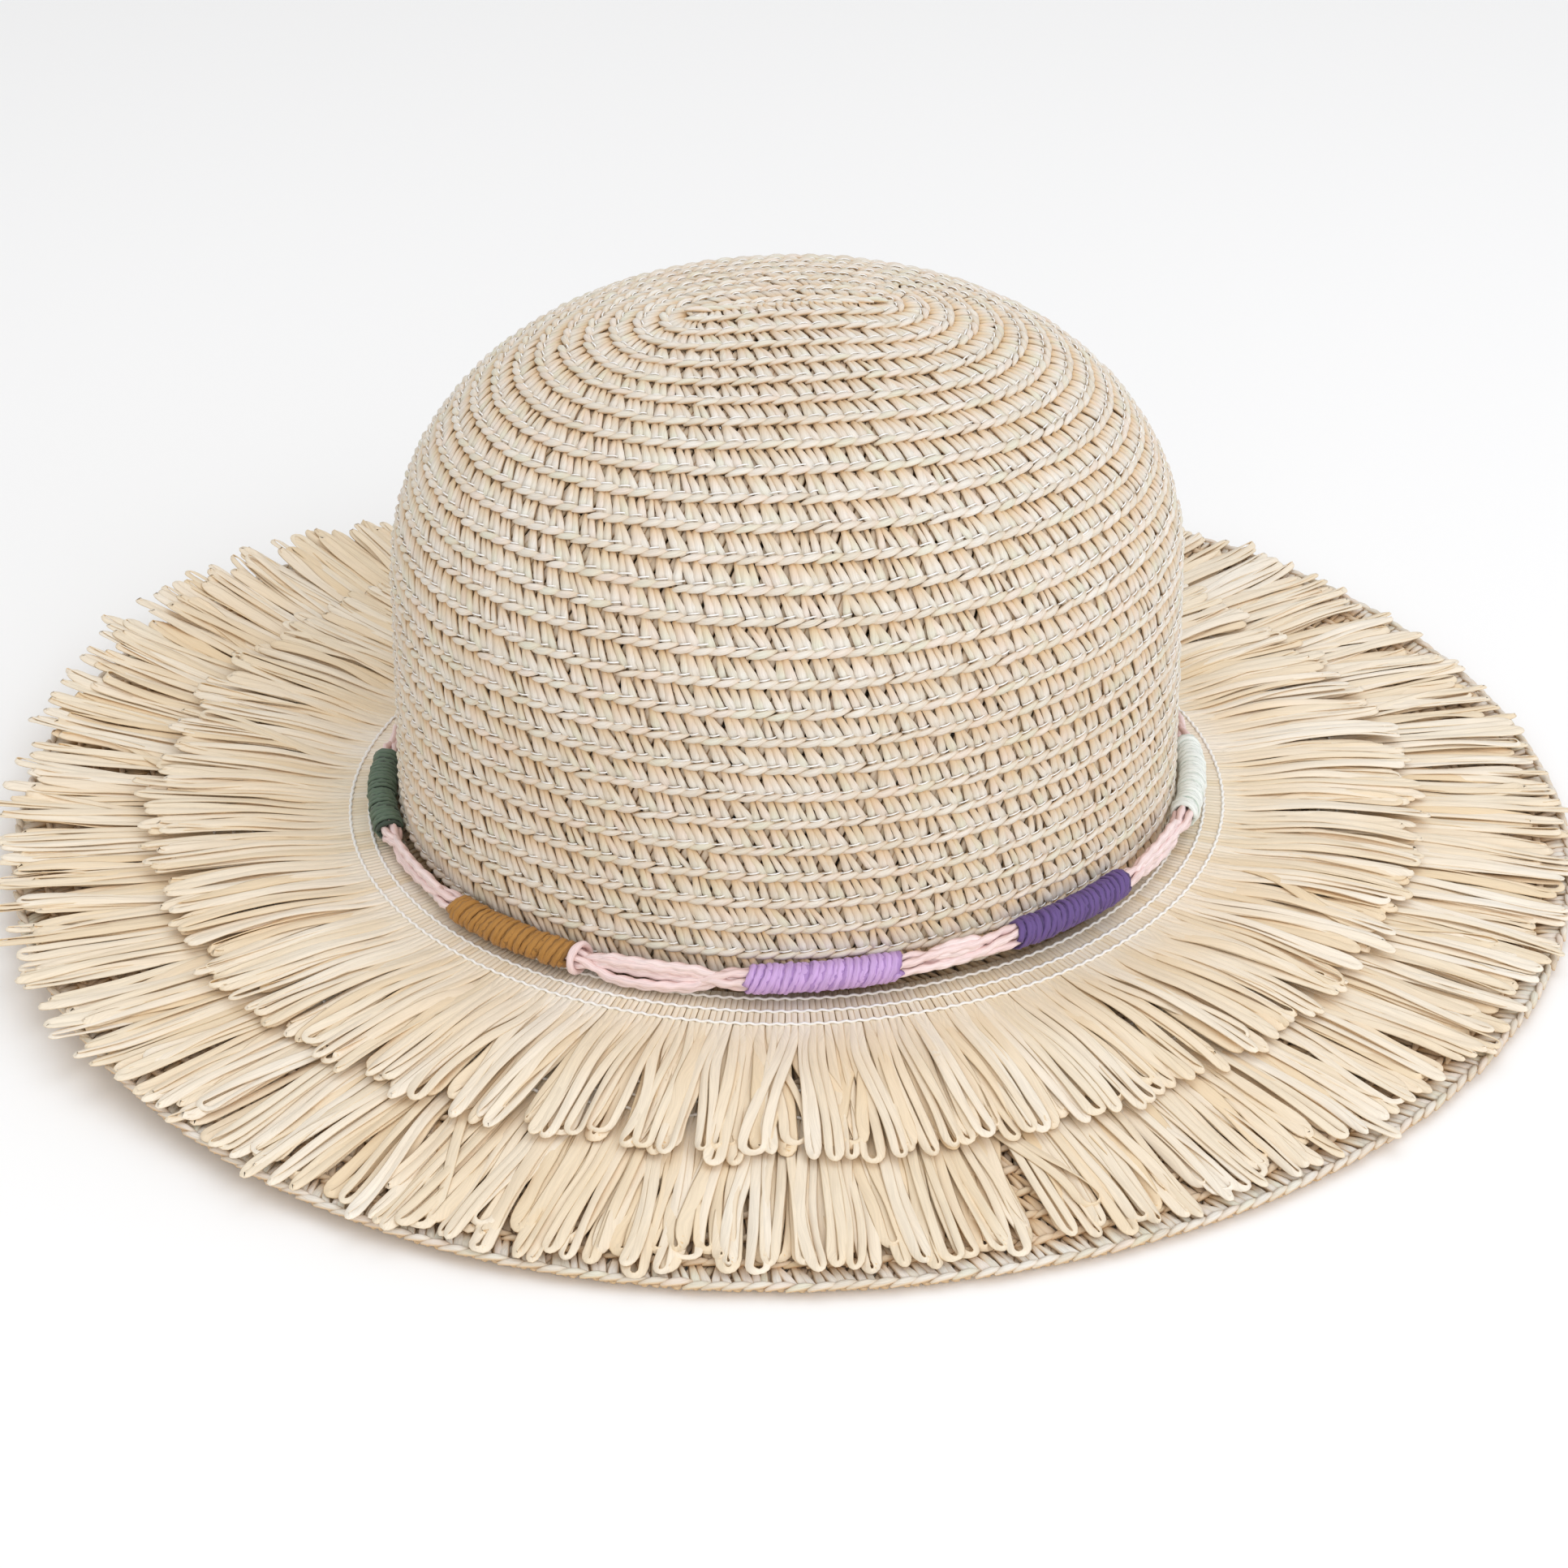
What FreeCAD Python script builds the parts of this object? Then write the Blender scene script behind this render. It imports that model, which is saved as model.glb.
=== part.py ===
"""A straw sun hat with a rounded crown, a wide brim, two tiers of looped raffia fringe and a yarn band.

Millimetres, +Z up. The origin is at the middle of the hat, level with the brim's lowest round, so the
hat stands on the plane Z = 0. X runs from the front of the head to the back.

Every level of the hat is the same oval. Each piece is therefore turned about Z from one section, which
is drawn at its true size across the hat, and is then lengthened along X by the oval's ratio.
"""
import FreeCAD, Part

import math
import os
import re

import Sketcher

# The driving dimensions. Each is one cell of the spreadsheet, and its name is the cell's alias.
SIZES = {
    # the oval and the head opening
    "oval": 1.09,  # length of every level over its width
    "opening": 87.5,  # half the width of the head opening
    # crown
    "braid": 3.0,  # thickness of the lapped braid in the crown
    "rise": 133.0,  # top of the crown above the brim at its foot
    "wall_lean": 2.0,  # degrees that the side wall leans inward
    "shoulder": 62.0,  # radius between the side wall and the top
    "top_bow": 140.0,  # radius of the top
    # brim
    "reach": 92.0,  # from the foot of the crown out to the edge
    "fall": 6.0,  # how far the edge hangs below the foot of the crown
    "brim_braid": 2.5,  # thickness of the lapped braid in the brim
    "rim": 7.0,  # the flat last round, on which the hat stands
    # fringe: the same strip is sewn round the hat twice
    "strip": 1.3,  # thickness of the looped raffia
    "strip_start": 0.4,  # inner edge of the upper strip from the foot of the crown
    "seam_step": 4.4,  # spacing of the three seams that hold a strip
    "lower_tier": 31.0,  # how much further out the lower strip is sewn
    "bare_edge": 3.0,  # from the ends of the lower loops to the brim's edge
    "seam_thread": 0.9,  # diameter of the cotton that sews the strips
    "gap": 0.2,  # clearance between pieces that lie on each other
    # band of yarn at the foot of the crown
    "strand": 1.8,  # diameter of one strand
    "strand_circle": 1.85,  # radius of the circle of strands round the middle one
    "wrap_bore": 2.9,  # inner radius of a wrap
    "wrap_skin": 0.7,  # thickness of the yarn in a wrap
    "wrap_run": 37.0,  # length of a wrap
    "knot_yarn": 0.8,  # diameter of the yarn of the knot beside the tan wrap
    # sweatband
    "tape": 25.0,  # width of the cotton tape
    "tape_skin": 0.8,  # its thickness
    "tape_thread": 0.6,  # diameter of its sewing thread
}

# Where the middle of each wrap is, in degrees round the oval from the back end (+X).
WRAPS = {
    "wrap_green": 179,
    "wrap_tan": 223,
    "wrap_lilac": 267,
    "wrap_purple": 303,
    "wrap_mint": 345,
    "wrap_back_green": 24,
    "wrap_back_tan": 62,
    "wrap_back_lilac": 101,
    "wrap_back_purple": 140,
}

# Sizes that follow from the driving ones, each a formula in a cell of its own.
FOLLOWING = {
    "foot": "opening + braid",  # outer half-width of the crown at its foot
    "foot_level": "fall + brim_braid",
    "slope": "fall / (reach - rim)",
    "top_level": "foot_level + rise",
    "first_seam": "strip_start + seam_step / 2",
    "second_seam": "first_seam + seam_step",
    "third_seam": "second_seam + seam_step",
    "loops": "reach - bare_edge - lower_tier - third_seam",  # length of the loops of either strip
    "tip": "third_seam + loops",
    "lift": "strip + seam_thread + 2 * gap",  # the upper strip over the lower strip and its seams
    "wrap_radius": "wrap_bore + wrap_skin",
    "band_out": "foot + gap + wrap_radius",
    "band_level": "foot_level + strip + seam_thread + 3 * gap + wrap_radius",
    "wrap_sweep": "wrap_run / band_out * 180 / pi",
}

SHEET = "Sizes"
doc = FreeCAD.newDocument("straw_sun_hat")
sheet = doc.addObject("Spreadsheet::Sheet", SHEET)
nodes = []


def fill_sheet():
    """One row for each size: its name, its value or formula, and the alias that expressions use."""
    rows = [(name, str(value)) for name, value in SIZES.items()]
    rows += [(name + "_at", str(value)) for name, value in WRAPS.items()]
    rows += [(name, "=" + formula) for name, formula in FOLLOWING.items()]
    for row, (name, content) in enumerate(rows, start=1):
        sheet.set(f"A{row}", name)
        sheet.set(f"B{row}", content)
        sheet.setAlias(f"B{row}", name)
    doc.recompute()


def size(name):
    """The number that a cell holds."""
    return float(sheet.get(name))


def cell(formula):
    """The formula as an expression outside the sheet: each alias gets the sheet's name before it."""
    names = {*SIZES, *FOLLOWING, *(wrap + "_at" for wrap in WRAPS)}
    return re.sub(r"[a-z_]+", lambda word: f"{SHEET}.{word[0]}" if word[0] in names else word[0], formula)


def bind(sketch, constraint, formula):
    """Adds a dimension to a sketch and ties it to the sheet."""
    index = sketch.addConstraint(constraint)
    sketch.setExpression(f"Constraints[{index}]", cell(formula))


def section_sketch(name):
    """A body and an empty sketch in its YZ plane: across the hat to the right, up the hat upward."""
    body = doc.addObject("PartDesign::Body", name + "_turned")
    sketch = body.newObject("Sketcher::SketchObject", name + "_section")
    plane = next(o for o in body.Origin.OriginFeatures if o.Role == "YZ_Plane")
    sketch.AttachmentSupport = [(plane, "")]
    sketch.MapMode = "FlatFace"
    return body, sketch


def place_point(sketch, curve, end, across, up, near=(1.0, 1.0)):
    """Ties a point of a curve to its distances from the hat's axis and from the plane it stands on."""
    bind(sketch, Sketcher.Constraint("DistanceX", -1, 1, curve, end, near[0]), across)
    if up == "0":
        sketch.addConstraint(Sketcher.Constraint("PointOnObject", curve, end, -1))
    else:
        bind(sketch, Sketcher.Constraint("DistanceY", -1, 1, curve, end, near[1]), up)


def draw_polygon(sketch, corners):
    """A closed outline through the corners, each a pair of formulas (across, up)."""
    first = len(sketch.Geometry)
    count = len(corners)
    turn = 2 * math.pi / count
    rough = [FreeCAD.Vector(100 + math.cos(i * turn), 10 + math.sin(i * turn), 0) for i in range(count)]
    for i in range(count):
        sketch.addGeometry(Part.LineSegment(rough[i], rough[(i + 1) % count]), False)
    for i in range(count):
        sketch.addConstraint(Sketcher.Constraint("Coincident", first + i, 2, first + (i + 1) % count, 1))
    for i, (across, up) in enumerate(corners):
        place_point(sketch, first + i, 1, across, up)


def draw_round(sketch, across, up, radius, sides):
    """A round yarn's section as a regular polygon, whose middle and radius are formulas.

    Flat facets keep these long thin rings light to mesh; the yarn's own plies are finer still.
    """
    angles = [f"{360 / sides * i} * 1 deg" for i in range(sides)]
    draw_polygon(
        sketch,
        [(f"{across} + ({radius}) * cos({a})", f"{up} + ({radius}) * sin({a})") for a in angles],
    )


def turn_section(body, sketch, sweep=None):
    """Turns the section about Z: all the way round, or half of the sweep to each side."""
    turned = body.newObject("PartDesign::Revolution", sketch.Name + "_turn")
    turned.Profile = sketch
    turned.ReferenceAxis = (sketch, ["V_Axis"])
    turned.Angle = 360
    if sweep:
        turned.Midplane = True
        turned.setExpression("Angle", cell(sweep))
    sketch.Visibility = False
    return turned


def stretch_to_oval(name, body):
    """The finished sub-part: the turned body, lengthened along X by the oval's ratio."""
    oval = doc.addObject("Part::Scale", name)
    oval.Label = name
    oval.Base = body
    oval.Uniform = False
    oval.setExpression("XScale", cell("oval"))
    oval.YScale = 1
    oval.ZScale = 1
    nodes.append(oval)
    return oval


def trim_flat(name, stretched):
    """The finished sub-part: the stretched one, cut level where it stands on a table."""
    table = doc.addObject("Part::Box", name + "_table")
    table.setExpression("Length", cell("4 * oval * (foot + reach)"))
    table.setExpression("Width", cell("4 * (foot + reach)"))
    table.setExpression("Height", cell("fall"))
    table.setExpression("Placement.Base.x", cell("-2 * oval * (foot + reach)"))
    table.setExpression("Placement.Base.y", cell("-2 * (foot + reach)"))
    table.setExpression("Placement.Base.z", cell("-fall"))
    trimmed = doc.addObject("Part::Cut", name)
    trimmed.Label = name
    trimmed.Base = stretched
    trimmed.Tool = table
    nodes[nodes.index(stretched)] = trimmed


def add_turned(name, corners):
    """A sub-part that goes all the way round with a section of straight sides."""
    body, sketch = section_sketch(name)
    draw_polygon(sketch, corners)
    turn_section(body, sketch)
    stretch_to_oval(name, body)


def add_ring(name, across, up, diameter):
    """A thread or strand that closes on itself round the hat."""
    body, sketch = section_sketch(name)
    draw_round(sketch, across, up, f"{diameter} / 2", 8)
    turn_section(body, sketch)
    stretch_to_oval(name, body)


def arc(centre, radius, start, end):
    """An arc of a circle in the sketch's plane, between two angles in degrees."""
    circle = Part.Circle(FreeCAD.Vector(*centre, 0), FreeCAD.Vector(0, 0, 1), radius)
    return Part.ArcOfCircle(circle, math.radians(start), math.radians(end))


def skin_curves(inset):
    """The crown's section as a wall line, a shoulder arc and a top arc, drawn inset from the outside.

    The shoulder's centre lies up the wall from its foot, where the top's circle takes the shoulder in.
    """
    lean = math.radians(size("wall_lean"))
    shoulder, top_bow = size("shoulder"), size("top_bow")
    top_centre = FreeCAD.Vector(0, size("top_level") - top_bow, 0)
    inward = FreeCAD.Vector(-math.cos(lean), -math.sin(lean), 0)
    upward = FreeCAD.Vector(-math.sin(lean), math.cos(lean), 0)
    foot = FreeCAD.Vector(size("foot") - inset / math.cos(lean), size("foot_level"), 0)
    low_centre = FreeCAD.Vector(size("foot"), size("foot_level"), 0) + inward * shoulder
    offset = low_centre - top_centre
    along = offset.dot(upward)
    run = -along + math.sqrt(along**2 - offset.dot(offset) + (top_bow - shoulder) ** 2)
    centre = low_centre + upward * run
    joint = math.degrees(math.atan2(centre.y - top_centre.y, centre.x))
    wall_end = centre - inward * (shoulder - inset)
    return [
        Part.LineSegment(foot, wall_end),
        arc((centre.x, centre.y), shoulder - inset, size("wall_lean"), joint),
        arc((0, top_centre.y), top_bow - inset, joint, 90),
    ]


def tie_skin(sketch, first, across):
    """Joins a wall line, a shoulder arc and a top arc smoothly, from the foot to the hat's axis."""
    sketch.addConstraint(Sketcher.Constraint("Tangent", first, 2, first + 1, 1))
    sketch.addConstraint(Sketcher.Constraint("Tangent", first + 1, 2, first + 2, 1))
    sketch.addConstraint(Sketcher.Constraint("PointOnObject", first + 2, 2, -2))
    place_point(sketch, first, 1, across, "foot_level", (size(across), size("foot_level")))


def add_crown():
    """The crown: an even skin of braid with a leaning wall, a round shoulder and a bowed top."""
    body, sketch = section_sketch("crown_braid")
    inset = size("braid") * math.cos(math.radians(size("wall_lean")))
    outer_curves, inner_curves = skin_curves(0), skin_curves(inset)
    ends = [
        Part.LineSegment(outer_curves[0].StartPoint, inner_curves[0].StartPoint),
        Part.LineSegment(outer_curves[2].EndPoint, inner_curves[2].EndPoint),
    ]
    sketch.addGeometry(outer_curves + inner_curves + ends, False)
    outer, inner, foot_line, top_line = 0, 3, 6, 7
    tie_skin(sketch, outer, "foot")
    tie_skin(sketch, inner, "opening")
    bind(sketch, Sketcher.Constraint("Radius", outer + 1, size("shoulder")), "shoulder")
    bind(sketch, Sketcher.Constraint("Radius", outer + 2, size("top_bow")), "top_bow")
    bind(sketch, Sketcher.Constraint("DistanceY", -1, 1, outer + 2, 2, size("top_level")), "top_level")
    sketch.addConstraint(Sketcher.Constraint("PointOnObject", outer + 2, 3, -2))
    lean = Sketcher.Constraint("Angle", outer, math.radians(90 + size("wall_lean")))
    bind(sketch, lean, "(90 + wall_lean) * 1 deg")
    sketch.addConstraint(Sketcher.Constraint("Parallel", outer, inner))
    for curve in (1, 2):
        sketch.addConstraint(Sketcher.Constraint("Coincident", outer + curve, 3, inner + curve, 3))
    for line, curve, end in ((foot_line, 0, 1), (top_line, 2, 2)):
        sketch.addConstraint(Sketcher.Constraint("Coincident", line, 1, outer + curve, end))
        sketch.addConstraint(Sketcher.Constraint("Coincident", line, 2, inner + curve, end))
    turn_section(body, sketch)
    stretch_to_oval("crown_braid", body)


def brim_top(out):
    """Height of the brim's upper side at a distance out from the foot of the crown."""
    return f"foot_level - slope * ({out})"


def add_brim():
    """The brim: level under the crown's wall, then falling evenly to a flat last round that it stands on."""
    body, sketch = section_sketch("brim_braid")
    draw_polygon(
        sketch,
        [
            ("opening", "foot_level - brim_braid"),
            ("foot", "foot_level - brim_braid"),
            ("foot + reach - rim", "0"),
            ("foot + reach - rim / 2", "-slope * rim / 2"),
            ("foot + reach", "0"),
            ("foot + reach", "brim_braid"),
            ("foot + reach - rim", "brim_braid"),
            ("foot", "foot_level"),
            ("opening", "foot_level"),
        ],
    )
    turn_section(body, sketch)
    trim_flat("brim_braid", stretch_to_oval("brim_braid_stretched", body))


def add_upper_fringe():
    """The upper strip: it lies on the brim, then climbs onto the lower strip where that begins."""
    step_start = "strip_start + lower_tier - lift - gap"
    step_end = "strip_start + lower_tier - gap"
    under = [
        ("foot + strip_start", brim_top("strip_start") + " + gap"),
        ("foot + " + step_start, brim_top(step_start) + " + gap"),
        ("foot + " + step_end, brim_top(step_end) + " + gap + lift"),
        ("foot + tip", brim_top("tip") + " + gap + lift"),
    ]
    over = [(across, up + " + strip") for across, up in reversed(under)]
    add_turned("upper_fringe", under + over)


def add_lower_fringe():
    """The lower strip: it lies on the brim and ends on the brim's flat last round."""
    under = [
        ("foot + lower_tier + strip_start", brim_top("lower_tier + strip_start") + " + gap"),
        ("foot + reach - rim", "brim_braid + gap"),
        ("foot + lower_tier + tip", "brim_braid + gap"),
    ]
    over = [(across, up + " + strip") for across, up in reversed(under)]
    add_turned("lower_fringe", under + over)


def add_seams(tier, start):
    """The three rounds of cotton that sew a strip down, lying on the strip."""
    for seam in ("first", "second", "third"):
        out = f"{start} + {seam}_seam"
        up = brim_top(out) + " + strip + 2 * gap + seam_thread / 2"
        add_ring(f"{tier}_fringe_{seam}_seam", f"foot + {out}", up, "seam_thread")


def add_band_strands():
    """Six strands: one in the middle and five round it."""
    add_ring("band_strand_1", "band_out", "band_level", "strand")
    for i in range(5):
        angle = f"(18 + 72 * {i}) * 1 deg"
        across = f"band_out + strand_circle * cos({angle})"
        up = f"band_level + strand_circle * sin({angle})"
        add_ring(f"band_strand_{i + 2}", across, up, "strand")


def add_wrap(name):
    """A sleeve of yarn wound round the strands, at its own place on the band."""
    body, sketch = section_sketch(name)
    draw_round(sketch, "band_out", "band_level", "wrap_radius", 16)
    draw_round(sketch, "band_out", "band_level", "wrap_bore", 16)
    # the section's plane is turned about the hat's axis, from 90 degrees to the middle of the wrap
    sketch.AttachmentOffset.Rotation.Axis = FreeCAD.Vector(0, 1, 0)
    sketch.setExpression("AttachmentOffset.Rotation.Angle", cell(f"({name}_at - 90) * 1 deg"))
    turn_section(body, sketch, "wrap_sweep")
    stretch_to_oval(name, body)


def add_knot():
    """The turn of yarn that ties the strands off beside the tan wrap: a ring square to the band."""
    yarn = size("knot_yarn") / 2
    clear_of_wrap = math.degrees((yarn + 2 * size("gap")) / size("band_out"))
    angle = math.radians(size("wrap_tan_at") + size("wrap_sweep") / 2 + clear_of_wrap)
    across, along = size("band_out") * math.sin(angle), size("band_out") * math.cos(angle)
    knot = doc.addObject("Part::Torus", "band_knot")
    knot.Label = "band_knot"
    knot.setExpression("Radius1", cell("wrap_bore + (gap + knot_yarn) / 2"))
    knot.setExpression("Radius2", cell("knot_yarn / 2"))
    middle = FreeCAD.Vector(along * size("oval"), across, size("band_level"))
    direction = FreeCAD.Vector(-across * size("oval"), along, 0)
    knot.Placement = FreeCAD.Placement(middle, FreeCAD.Rotation(FreeCAD.Vector(0, 0, 1), direction))
    nodes.append(knot)


def add_sweatband():
    """The cotton tape inside the crown, parallel to the leaning wall, and the thread that sews it."""
    base = "foot_level + gap"
    lean = "tape * tan(wall_lean * 1 deg)"
    add_turned(
        "sweatband",
        [
            ("opening - gap", base),
            (f"opening - gap - {lean}", f"{base} + tape"),
            (f"opening - gap - tape_skin - {lean}", f"{base} + tape"),
            ("opening - gap - tape_skin", base),
        ],
    )
    across = "opening - 2 * gap - tape_skin - tape_thread"
    add_ring("sweatband_seam", across, f"{base} + tape / 8", "tape_thread")


def check_and_save():
    """Stops on any failed object or bad solid, then writes each sub-part to its own file."""
    doc.recompute()
    for item in doc.Objects:
        if "Invalid" in item.State or "Error" in item.State:
            raise RuntimeError(f"{item.Name} did not recompute: {item.State}")
        if item.isDerivedFrom("Sketcher::SketchObject") and not item.FullyConstrained:
            raise RuntimeError(f"{item.Name} is not fully constrained")
    for node in nodes:
        shape = node.Shape
        if shape.isNull() or not shape.isValid() or len(shape.Solids) != 1 or shape.Volume <= 0:
            raise RuntimeError(f"{node.Label} is not one valid solid")
    os.makedirs("parts", exist_ok=True)
    for node in nodes:
        node.Shape.exportStep(f"parts/{node.Label}.step")
        box = node.Shape.optimalBoundingBox()
        print(f"{node.Label}: {box.XLength:.1f} x {box.YLength:.1f} x {box.ZLength:.1f}, from Z {box.ZMin:.2f}")


fill_sheet()
add_crown()
add_brim()
add_lower_fringe()
add_seams("lower", "lower_tier")
add_upper_fringe()
add_seams("upper", "0")
add_band_strands()
for wrap in WRAPS:
    add_wrap(wrap)
add_knot()
add_sweatband()
check_and_save()
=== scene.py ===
"""Straw sun hat: a crown and brim of sewn paper braid, two tiers of looped raffia, a wrapped band of yarn and
a cotton sweatband.

Everything is worked out in millimetres and turned to metres where a mesh is made. A place on the hat is an
angle round the oval, from +X, and a run down the slope from the tip or out along the brim.
"""

import math

import bpy
import numpy as np
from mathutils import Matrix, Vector


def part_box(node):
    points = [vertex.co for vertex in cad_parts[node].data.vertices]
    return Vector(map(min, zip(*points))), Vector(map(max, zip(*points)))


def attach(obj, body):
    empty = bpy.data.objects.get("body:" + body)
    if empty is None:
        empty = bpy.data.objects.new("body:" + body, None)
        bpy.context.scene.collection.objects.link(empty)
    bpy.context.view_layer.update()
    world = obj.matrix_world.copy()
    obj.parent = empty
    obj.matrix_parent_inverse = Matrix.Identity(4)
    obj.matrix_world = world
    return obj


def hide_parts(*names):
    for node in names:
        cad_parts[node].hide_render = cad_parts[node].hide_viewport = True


MM = 0.001
TURN = 2 * math.pi
chance = np.random.default_rng(11)

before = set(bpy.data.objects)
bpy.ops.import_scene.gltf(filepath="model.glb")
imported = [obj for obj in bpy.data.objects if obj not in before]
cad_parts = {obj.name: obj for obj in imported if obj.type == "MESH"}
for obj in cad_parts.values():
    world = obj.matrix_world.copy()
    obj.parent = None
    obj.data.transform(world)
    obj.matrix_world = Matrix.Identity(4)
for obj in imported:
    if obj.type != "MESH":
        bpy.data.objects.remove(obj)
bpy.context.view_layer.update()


def node_box(node):
    """A CAD node's lowest and highest corners, in millimetres."""
    low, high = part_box(node)
    return np.array(low) / MM, np.array(high) / MM


# Sizes read from the frame.
crown_low, crown_high = node_box("crown_braid")
_, brim_high = node_box("brim_braid")
tape_low, tape_high = node_box("sweatband")
strand_low, strand_high = node_box("band_strand_1")
FOOT = crown_high[1]  # half the crown's width at its foot
OVAL = crown_high[0] / FOOT  # how much longer than wide every level is
MEAN_OVAL = (1 + OVAL) / 2  # mean of a level's half-length and half-width, over its half-width
OVAL_GIRTH = 1.0455  # a level's girth over that of a circle as wide
FOOT_LEVEL = crown_low[2]
CROWN_TOP = crown_high[2]
REACH = brim_high[1] - FOOT  # the brim, from the crown's foot to its edge
BAND_LEVEL = (strand_low[2] + strand_high[2]) / 2
BAND_STRAND = (strand_high[2] - strand_low[2]) / 2
BAND_OUT = strand_high[1] - BAND_STRAND  # half-width of the band's middle line
BAND_CIRCLE = 1.85  # from the band's middle line to the strands round it, inside a wrap

# The crown's outline, from the foot up: a leaning wall, a shoulder arc and a flatter top arc.
WALL_LEAN = math.radians(2)
SHOULDER = 62.0
TOP_BOW = 140.0

# The brim slopes gently to its last round, which lies flat.
BRIM_FALL = 6.0 / 85.0  # fall for each millimetre out
FLAT_EDGE = 7.0  # width of the last round
BRIM_LIFTS = ((205, 4.5, 0.55), (146, 7.0, 0.55), (40, 1.5, 0.5))  # degrees round, millimetres up, spread

# The braid.
ROUND = 6.95  # one round to the next down the slope
PLAIT = 4.3  # one plaited turn to the next along a round
EDGE_HALF_RUN = 3.35  # half the length that one turn of the edge strand shows along the round
EDGE_LEAN = 0.8  # how far that turn climbs or falls from its middle
EDGE_HALF_WIDTH = 0.93
EDGE_HALF_THICK = 0.75
FINGER_START = 6.4  # the front strands start this far up the slope, under the round above
FINGER_LEAN = 1.25  # and lean this far along the round either side of their middle
FINGER_HALF_THICK = 0.5
BACK_START = 6.6  # the same for the strands behind, which lean the other way
BACK_LEAN = 1.5
BACK_HALF_WIDTH = 1.02
BACK_HALF_THICK = 0.42
BACK_OF_CROWN = 1.75  # depth of the strands behind, below the skin
BACK_OF_BRIM = 1.65
FOLD = 20.0  # half of the straight fold that the spiral starts from
FOLD_FADE = 84.0  # half-width at which the rounds are plain ovals again
FOLD_TURN = 2.2  # how sharply a round turns at either end of the fold

# The raffia. Distances are out from the crown's foot.
UPPER_SEAMS = (2.6, 7.0, 11.4)
UPPER_START = 0.4
UPPER_TIPS = 57.5
LOWER_SEAMS = (33.6, 38.0, 42.4)
LOWER_START = 31.4
LOWER_TIPS = 88.5
UNDER_ROW = 0.6  # how far a tier's second row of loops lies below its top one
ON_BRIM = 0.95  # middle of a loop over the brim's top
RAFFIA_FOLD = 0.7  # half-width of the raffia where the seams fold it
LEG_POINTS = 16  # points along one leg of a loop
BEND_POINTS = 6  # and round its bend
TIER_LIFT = 2.3  # the upper tier over the lower one and its seams
SEAM_LIFT = 1.45  # middle of a seam's thread over the brim's top

WRAPS = {  # middle of each wrap in degrees round the oval, and its yarn
    "wrap_green": (179, "green"),
    "wrap_tan": (223, "tan"),
    "wrap_lilac": (267, "lilac"),
    "wrap_purple": (303, "purple"),
    "wrap_mint": (345, "mint"),
    "wrap_back_green": (24, "green"),
    "wrap_back_tan": (62, "tan"),
    "wrap_back_lilac": (101, "lilac"),
    "wrap_back_purple": (140, "purple"),
}
WRAP_RUN = 37.0
WRAP_BORE = 2.45  # middle of the inner layer of turns, from the band's middle line


# --- Shape of the hat -------------------------------------------------------------------------


def soft_step(t):
    """0 to 1 with soft ends."""
    t = np.clip(t, 0, 1)
    return t * t * (3 - 2 * t)


def crown_outline():
    """Wall length, the shoulder arc's middle, and the angle where the shoulder meets the top arc."""
    top_middle = CROWN_TOP - TOP_BOW
    dx = FOOT - SHOULDER * math.cos(WALL_LEAN)
    dz = FOOT_LEVEL - SHOULDER * math.sin(WALL_LEAN) - top_middle
    b = -dx * math.sin(WALL_LEAN) + dz * math.cos(WALL_LEAN)
    wall = -b + math.sqrt(b * b - dx * dx - dz * dz + (TOP_BOW - SHOULDER) ** 2)
    cx = dx - wall * math.sin(WALL_LEAN)
    cz = FOOT_LEVEL - SHOULDER * math.sin(WALL_LEAN) + wall * math.cos(WALL_LEAN)
    return wall, cx, cz, math.atan2(cz - top_middle, cx)


WALL, SHOULDER_OUT, SHOULDER_LEVEL, TOP_START = crown_outline()
SHOULDER_RUN = SHOULDER * (TOP_START - WALL_LEAN)
CROWN_RUN = WALL + SHOULDER_RUN + TOP_BOW * (math.pi / 2 - TOP_START)


def crown_section(rise):
    """Half-width and level of the crown's outside at a distance up from the foot."""
    turn = WALL_LEAN + (rise - WALL) / SHOULDER
    bow = np.minimum(TOP_START + (rise - WALL - SHOULDER_RUN) / TOP_BOW, math.pi / 2)
    on_wall, on_shoulder = rise < WALL, rise < WALL + SHOULDER_RUN
    across = np.where(on_shoulder, SHOULDER_OUT + SHOULDER * np.cos(turn), TOP_BOW * np.cos(bow))
    top_level = CROWN_TOP - TOP_BOW + TOP_BOW * np.sin(bow)
    level = np.where(on_shoulder, SHOULDER_LEVEL + SHOULDER * np.sin(turn), top_level)
    across = np.where(on_wall, FOOT - rise * math.sin(WALL_LEAN), across)
    level = np.where(on_wall, FOOT_LEVEL + rise * math.cos(WALL_LEAN), level)
    return across, level


dome_across, dome_level = (row[::-1] for row in crown_section(np.linspace(0, CROWN_RUN, 600)))


def crown_skin(angle, run):
    """A point on the crown's outside. Near the tip the rounds are drawn out along the spiral's first fold."""
    across, level = crown_section(CROWN_RUN - np.maximum(run, 0.3))
    fold = FOLD * np.clip(1 - across / FOLD_FADE, 0, 1)
    x = OVAL * across * np.cos(angle) + fold * np.tanh(FOLD_TURN * np.cos(angle)) / math.tanh(FOLD_TURN)
    y = across * np.sin(angle)
    spread = np.where(fold > 0, np.hypot(x / OVAL, y), across)
    drop = np.interp(spread, dome_across, dome_level) - np.interp(across, dome_across, dome_level)
    return np.stack([x, y, level + drop], -1)


def beside(angle, degrees, width):
    """1 at that many degrees round the oval, fading to 0 over width radians."""
    away = (angle - math.radians(degrees) + math.pi) % TURN - math.pi
    return np.exp(-((away / width) ** 2))


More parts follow.
